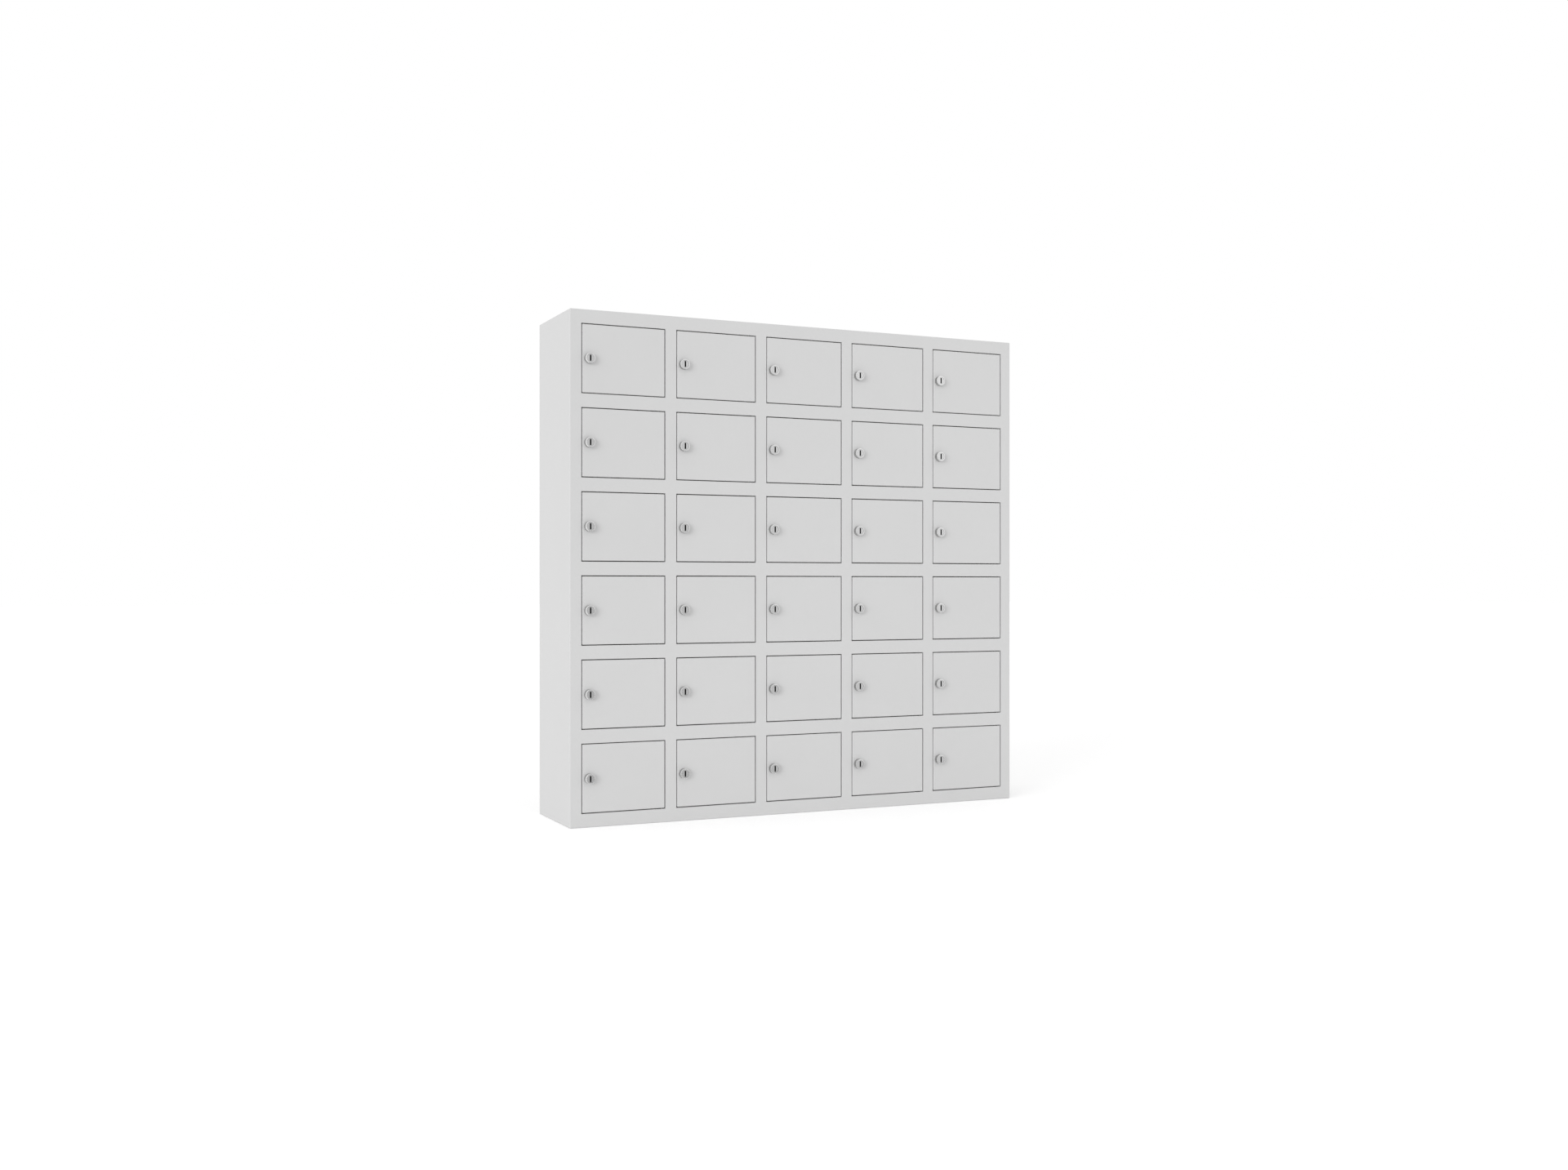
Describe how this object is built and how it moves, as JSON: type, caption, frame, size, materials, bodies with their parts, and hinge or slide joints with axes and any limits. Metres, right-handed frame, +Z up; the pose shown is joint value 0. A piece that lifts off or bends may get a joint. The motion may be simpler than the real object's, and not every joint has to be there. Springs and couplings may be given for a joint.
{
  "type": "cell phone locker box",
  "caption": "Grey steel locker cabinet for cell phones, with a grid of small flush doors, each with a round keyed cam lock and concealed hinge pins.",
  "frame": {"origin": "middle of the underside of the bounding box, on the surface that the cabinet stands on; the lock heads count in the depth", "axes": "+Z up; the doors face -Y; +X to the right as seen from the front"},
  "size_m": [0.9, 0.1976, 0.9],
  "materials": {
    "powder_coat": "light neutral grey powder coat, satin, with a fine orange peel",
    "nickel": "bright nickel plate on the lock heads and plugs, zinc plate on cams and screws",
    "nylon": "black moulded nylon"
  },
  "bodies": {
    "cabinet": {"body_shell": "powder_coat", "back_panel": "powder_coat", "front_frame": "powder_coat", "partitions": "powder_coat", "shelves": "powder_coat", "hinge_bushes": "nylon"},
    "door_r1c1": {"door_r1c1": "powder_coat"},
    "door_r1c2": {"door_r1c2": "powder_coat"},
    "door_r1c3": {"door_r1c3": "powder_coat"},
    "door_r1c4": {"door_r1c4": "powder_coat"},
    "door_r1c5": {"door_r1c5": "powder_coat"},
    "door_r2c1": {"door_r2c1": "powder_coat"},
    "door_r2c2": {"door_r2c2": "powder_coat"},
    "door_r2c3": {"door_r2c3": "powder_coat"},
    "door_r2c4": {"door_r2c4": "powder_coat"},
    "door_r2c5": {"door_r2c5": "powder_coat"},
    "door_r3c1": {"door_r3c1": "powder_coat"},
    "door_r3c2": {"door_r3c2": "powder_coat"},
    "door_r3c3": {"door_r3c3": "powder_coat"},
    "door_r3c4": {"door_r3c4": "powder_coat"},
    "door_r3c5": {"door_r3c5": "powder_coat"},
    "door_r4c1": {"door_r4c1": "powder_coat"},
    "door_r4c2": {"door_r4c2": "powder_coat"},
    "door_r4c3": {"door_r4c3": "powder_coat"},
    "door_r4c4": {"door_r4c4": "powder_coat"},
    "door_r4c5": {"door_r4c5": "powder_coat"},
    "door_r5c1": {"door_r5c1": "powder_coat"},
    "door_r5c2": {"door_r5c2": "powder_coat"},
    "door_r5c3": {"door_r5c3": "powder_coat"},
    "door_r5c4": {"door_r5c4": "powder_coat"},
    "door_r5c5": {"door_r5c5": "powder_coat"},
    "door_r6c1": {"door_r6c1": "powder_coat"},
    "door_r6c2": {"door_r6c2": "powder_coat"},
    "door_r6c3": {"door_r6c3": "powder_coat"},
    "door_r6c4": {"door_r6c4": "powder_coat"},
    "door_r6c5": {"door_r6c5": "powder_coat"},
    "lock_core_r1c1": {"lock_core_r1c1": "nickel"},
    "lock_core_r1c2": {"lock_core_r1c2": "nickel"},
    "lock_core_r1c3": {"lock_core_r1c3": "nickel"},
    "lock_core_r1c4": {"lock_core_r1c4": "nickel"},
    "lock_core_r2c1": {"lock_core_r2c1": "nickel"},
    "lock_core_r2c2": {"lock_core_r2c2": "nickel"},
    "lock_core_r2c3": {"lock_core_r2c3": "nickel"},
    "lock_core_r2c4": {"lock_core_r2c4": "nickel"},
    "lock_core_r3c1": {"lock_core_r3c1": "nickel"},
    "lock_core_r3c2": {"lock_core_r3c2": "nickel"},
    "lock_core_r3c3": {"lock_core_r3c3": "nickel"},
    "lock_core_r3c4": {"lock_core_r3c4": "nickel"},
    "lock_core_r4c1": {"lock_core_r4c1": "nickel"},
    "lock_core_r4c2": {"lock_core_r4c2": "nickel"},
    "lock_core_r4c3": {"lock_core_r4c3": "nickel"},
    "lock_core_r4c4": {"lock_core_r4c4": "nickel"},
    "lock_core_r5c1": {"lock_core_r5c1": "nickel"},
    "lock_core_r5c2": {"lock_core_r5c2": "nickel"},
    "lock_core_r5c3": {"lock_core_r5c3": "nickel"},
    "lock_core_r5c4": {"lock_core_r5c4": "nickel"},
    "lock_core_r6c1": {"lock_core_r6c1": "nickel"},
    "lock_core_r6c2": {"lock_core_r6c2": "nickel"},
    "lock_core_r6c3": {"lock_core_r6c3": "nickel"},
    "lock_core_r6c4": {"lock_core_r6c4": "nickel"}
  },
  "joints": [
    {"name": "door_hinge_r1c1", "type": "hinge", "parent": "cabinet", "child": "door_r1c1", "pos_m": [-0.2856, -0.08575, 0.815], "axis": [0, 0, 1], "range_deg": [0, 110]},
    {"name": "door_hinge_r1c2", "type": "hinge", "parent": "cabinet", "child": "door_r1c2", "pos_m": [-0.1098, -0.08575, 0.815], "axis": [0, 0, 1], "range_deg": [0, 110]},
    {"name": "door_hinge_r1c3", "type": "hinge", "parent": "cabinet", "child": "door_r1c3", "pos_m": [0.066, -0.08575, 0.815], "axis": [0, 0, 1], "range_deg": [0, 110]},
    {"name": "door_hinge_r1c4", "type": "hinge", "parent": "cabinet", "child": "door_r1c4", "pos_m": [0.2418, -0.08575, 0.815], "axis": [0, 0, 1], "range_deg": [0, 110]},
    {"name": "door_hinge_r1c5", "type": "hinge", "parent": "cabinet", "child": "door_r1c5", "pos_m": [0.4176, -0.08575, 0.815], "axis": [0, 0, 1], "range_deg": [0, 110]},
    {"name": "door_hinge_r2c1", "type": "hinge", "parent": "cabinet", "child": "door_r2c1", "pos_m": [-0.2856, -0.08575, 0.669], "axis": [0, 0, 1], "range_deg": [0, 110]},
    {"name": "door_hinge_r2c2", "type": "hinge", "parent": "cabinet", "child": "door_r2c2", "pos_m": [-0.1098, -0.08575, 0.669], "axis": [0, 0, 1], "range_deg": [0, 110]},
    {"name": "door_hinge_r2c3", "type": "hinge", "parent": "cabinet", "child": "door_r2c3", "pos_m": [0.066, -0.08575, 0.669], "axis": [0, 0, 1], "range_deg": [0, 110]},
    {"name": "door_hinge_r2c4", "type": "hinge", "parent": "cabinet", "child": "door_r2c4", "pos_m": [0.2418, -0.08575, 0.669], "axis": [0, 0, 1], "range_deg": [0, 110]},
    {"name": "door_hinge_r2c5", "type": "hinge", "parent": "cabinet", "child": "door_r2c5", "pos_m": [0.4176, -0.08575, 0.669], "axis": [0, 0, 1], "range_deg": [0, 110]},
    {"name": "door_hinge_r3c1", "type": "hinge", "parent": "cabinet", "child": "door_r3c1", "pos_m": [-0.2856, -0.08575, 0.523], "axis": [0, 0, 1], "range_deg": [0, 110]},
    {"name": "door_hinge_r3c2", "type": "hinge", "parent": "cabinet", "child": "door_r3c2", "pos_m": [-0.1098, -0.08575, 0.523], "axis": [0, 0, 1], "range_deg": [0, 110]},
    {"name": "door_hinge_r3c3", "type": "hinge", "parent": "cabinet", "child": "door_r3c3", "pos_m": [0.066, -0.08575, 0.523], "axis": [0, 0, 1], "range_deg": [0, 110]},
    {"name": "door_hinge_r3c4", "type": "hinge", "parent": "cabinet", "child": "door_r3c4", "pos_m": [0.2418, -0.08575, 0.523], "axis": [0, 0, 1], "range_deg": [0, 110]},
    {"name": "door_hinge_r3c5", "type": "hinge", "parent": "cabinet", "child": "door_r3c5", "pos_m": [0.4176, -0.08575, 0.523], "axis": [0, 0, 1], "range_deg": [0, 110]},
    {"name": "door_hinge_r4c1", "type": "hinge", "parent": "cabinet", "child": "door_r4c1", "pos_m": [-0.2856, -0.08575, 0.377], "axis": [0, 0, 1], "range_deg": [0, 110]},
    {"name": "door_hinge_r4c2", "type": "hinge", "parent": "cabinet", "child": "door_r4c2", "pos_m": [-0.1098, -0.08575, 0.377], "axis": [0, 0, 1], "range_deg": [0, 110]},
    {"name": "door_hinge_r4c3", "type": "hinge", "parent": "cabinet", "child": "door_r4c3", "pos_m": [0.066, -0.08575, 0.377], "axis": [0, 0, 1], "range_deg": [0, 110]},
    {"name": "door_hinge_r4c4", "type": "hinge", "parent": "cabinet", "child": "door_r4c4", "pos_m": [0.2418, -0.08575, 0.377], "axis": [0, 0, 1], "range_deg": [0, 110]},
    {"name": "door_hinge_r4c5", "type": "hinge", "parent": "cabinet", "child": "door_r4c5", "pos_m": [0.4176, -0.08575, 0.377], "axis": [0, 0, 1], "range_deg": [0, 110]},
    {"name": "door_hinge_r5c1", "type": "hinge", "parent": "cabinet", "child": "door_r5c1", "pos_m": [-0.2856, -0.08575, 0.231], "axis": [0, 0, 1], "range_deg": [0, 110]},
    {"name": "door_hinge_r5c2", "type": "hinge", "parent": "cabinet", "child": "door_r5c2", "pos_m": [-0.1098, -0.08575, 0.231], "axis": [0, 0, 1], "range_deg": [0, 110]},
    {"name": "door_hinge_r5c3", "type": "hinge", "parent": "cabinet", "child": "door_r5c3", "pos_m": [0.066, -0.08575, 0.231], "axis": [0, 0, 1], "range_deg": [0, 110]},
    {"name": "door_hinge_r5c4", "type": "hinge", "parent": "cabinet", "child": "door_r5c4", "pos_m": [0.2418, -0.08575, 0.231], "axis": [0, 0, 1], "range_deg": [0, 110]},
    {"name": "door_hinge_r5c5", "type": "hinge", "parent": "cabinet", "child": "door_r5c5", "pos_m": [0.4176, -0.08575, 0.231], "axis": [0, 0, 1], "range_deg": [0, 110]},
    {"name": "door_hinge_r6c1", "type": "hinge", "parent": "cabinet", "child": "door_r6c1", "pos_m": [-0.2856, -0.08575, 0.085], "axis": [0, 0, 1], "range_deg": [0, 110]},
    {"name": "door_hinge_r6c2", "type": "hinge", "parent": "cabinet", "child": "door_r6c2", "pos_m": [-0.1098, -0.08575, 0.085], "axis": [0, 0, 1], "range_deg": [0, 110]},
    {"name": "door_hinge_r6c3", "type": "hinge", "parent": "cabinet", "child": "door_r6c3", "pos_m": [0.066, -0.08575, 0.085], "axis": [0, 0, 1], "range_deg": [0, 110]},
    {"name": "door_hinge_r6c4", "type": "hinge", "parent": "cabinet", "child": "door_r6c4", "pos_m": [0.2418, -0.08575, 0.085], "axis": [0, 0, 1], "range_deg": [0, 110]},
    {"name": "door_hinge_r6c5", "type": "hinge", "parent": "cabinet", "child": "door_r6c5", "pos_m": [0.4176, -0.08575, 0.085], "axis": [0, 0, 1], "range_deg": [0, 110]},
    {"name": "lock_turn_r1c1", "type": "hinge", "parent": "door_r1c1", "child": "lock_core_r1c1", "pos_m": [-0.4151, -0.09025, 0.815], "axis": [0, 1, 0], "range_deg": [0, 90]},
    {"name": "lock_turn_r1c2", "type": "hinge", "parent": "door_r1c2", "child": "lock_core_r1c2", "pos_m": [-0.2393, -0.09025, 0.815], "axis": [0, 1, 0], "range_deg": [0, 90]},
    {"name": "lock_turn_r1c3", "type": "hinge", "parent": "door_r1c3", "child": "lock_core_r1c3", "pos_m": [-0.0635, -0.09025, 0.815], "axis": [0, 1, 0], "range_deg": [0, 90]},
    {"name": "lock_turn_r1c4", "type": "hinge", "parent": "door_r1c4", "child": "lock_core_r1c4", "pos_m": [0.1123, -0.09025, 0.815], "axis": [0, 1, 0], "range_deg": [0, 90]},
    {"name": "lock_turn_r2c1", "type": "hinge", "parent": "door_r2c1", "child": "lock_core_r2c1", "pos_m": [-0.4151, -0.09025, 0.669], "axis": [0, 1, 0], "range_deg": [0, 90]},
    {"name": "lock_turn_r2c2", "type": "hinge", "parent": "door_r2c2", "child": "lock_core_r2c2", "pos_m": [-0.2393, -0.09025, 0.669], "axis": [0, 1, 0], "range_deg": [0, 90]},
    {"name": "lock_turn_r2c3", "type": "hinge", "parent": "door_r2c3", "child": "lock_core_r2c3", "pos_m": [-0.0635, -0.09025, 0.669], "axis": [0, 1, 0], "range_deg": [0, 90]},
    {"name": "lock_turn_r2c4", "type": "hinge", "parent": "door_r2c4", "child": "lock_core_r2c4", "pos_m": [0.1123, -0.09025, 0.669], "axis": [0, 1, 0], "range_deg": [0, 90]},
    {"name": "lock_turn_r3c1", "type": "hinge", "parent": "door_r3c1", "child": "lock_core_r3c1", "pos_m": [-0.4151, -0.09025, 0.523], "axis": [0, 1, 0], "range_deg": [0, 90]},
    {"name": "lock_turn_r3c2", "type": "hinge", "parent": "door_r3c2", "child": "lock_core_r3c2", "pos_m": [-0.2393, -0.09025, 0.523], "axis": [0, 1, 0], "range_deg": [0, 90]},
    {"name": "lock_turn_r3c3", "type": "hinge", "parent": "door_r3c3", "child": "lock_core_r3c3", "pos_m": [-0.0635, -0.09025, 0.523], "axis": [0, 1, 0], "range_deg": [0, 90]},
    {"name": "lock_turn_r3c4", "type": "hinge", "parent": "door_r3c4", "child": "lock_core_r3c4", "pos_m": [0.1123, -0.09025, 0.523], "axis": [0, 1, 0], "range_deg": [0, 90]},
    {"name": "lock_turn_r4c1", "type": "hinge", "parent": "door_r4c1", "child": "lock_core_r4c1", "pos_m": [-0.4151, -0.09025, 0.377], "axis": [0, 1, 0], "range_deg": [0, 90]},
    {"name": "lock_turn_r4c2", "type": "hinge", "parent": "door_r4c2", "child": "lock_core_r4c2", "pos_m": [-0.2393, -0.09025, 0.377], "axis": [0, 1, 0], "range_deg": [0, 90]},
    {"name": "lock_turn_r4c3", "type": "hinge", "parent": "door_r4c3", "child": "lock_core_r4c3", "pos_m": [-0.0635, -0.09025, 0.377], "axis": [0, 1, 0], "range_deg": [0, 90]},
    {"name": "lock_turn_r4c4", "type": "hinge", "parent": "door_r4c4", "child": "lock_core_r4c4", "pos_m": [0.1123, -0.09025, 0.377], "axis": [0, 1, 0], "range_deg": [0, 90]},
    {"name": "lock_turn_r5c1", "type": "hinge", "parent": "door_r5c1", "child": "lock_core_r5c1", "pos_m": [-0.4151, -0.09025, 0.231], "axis": [0, 1, 0], "range_deg": [0, 90]},
    {"name": "lock_turn_r5c2", "type": "hinge", "parent": "door_r5c2", "child": "lock_core_r5c2", "pos_m": [-0.2393, -0.09025, 0.231], "axis": [0, 1, 0], "range_deg": [0, 90]},
    {"name": "lock_turn_r5c3", "type": "hinge", "parent": "door_r5c3", "child": "lock_core_r5c3", "pos_m": [-0.0635, -0.09025, 0.231], "axis": [0, 1, 0], "range_deg": [0, 90]},
    {"name": "lock_turn_r5c4", "type": "hinge", "parent": "door_r5c4", "child": "lock_core_r5c4", "pos_m": [0.1123, -0.09025, 0.231], "axis": [0, 1, 0], "range_deg": [0, 90]},
    {"name": "lock_turn_r6c1", "type": "hinge", "parent": "door_r6c1", "child": "lock_core_r6c1", "pos_m": [-0.4151, -0.09025, 0.085], "axis": [0, 1, 0], "range_deg": [0, 90]},
    {"name": "lock_turn_r6c2", "type": "hinge", "parent": "door_r6c2", "child": "lock_core_r6c2", "pos_m": [-0.2393, -0.09025, 0.085], "axis": [0, 1, 0], "range_deg": [0, 90]},
    {"name": "lock_turn_r6c3", "type": "hinge", "parent": "door_r6c3", "child": "lock_core_r6c3", "pos_m": [-0.0635, -0.09025, 0.085], "axis": [0, 1, 0], "range_deg": [0, 90]},
    {"name": "lock_turn_r6c4", "type": "hinge", "parent": "door_r6c4", "child": "lock_core_r6c4", "pos_m": [0.1123, -0.09025, 0.085], "axis": [0, 1, 0], "range_deg": [0, 90]}
  ]
}
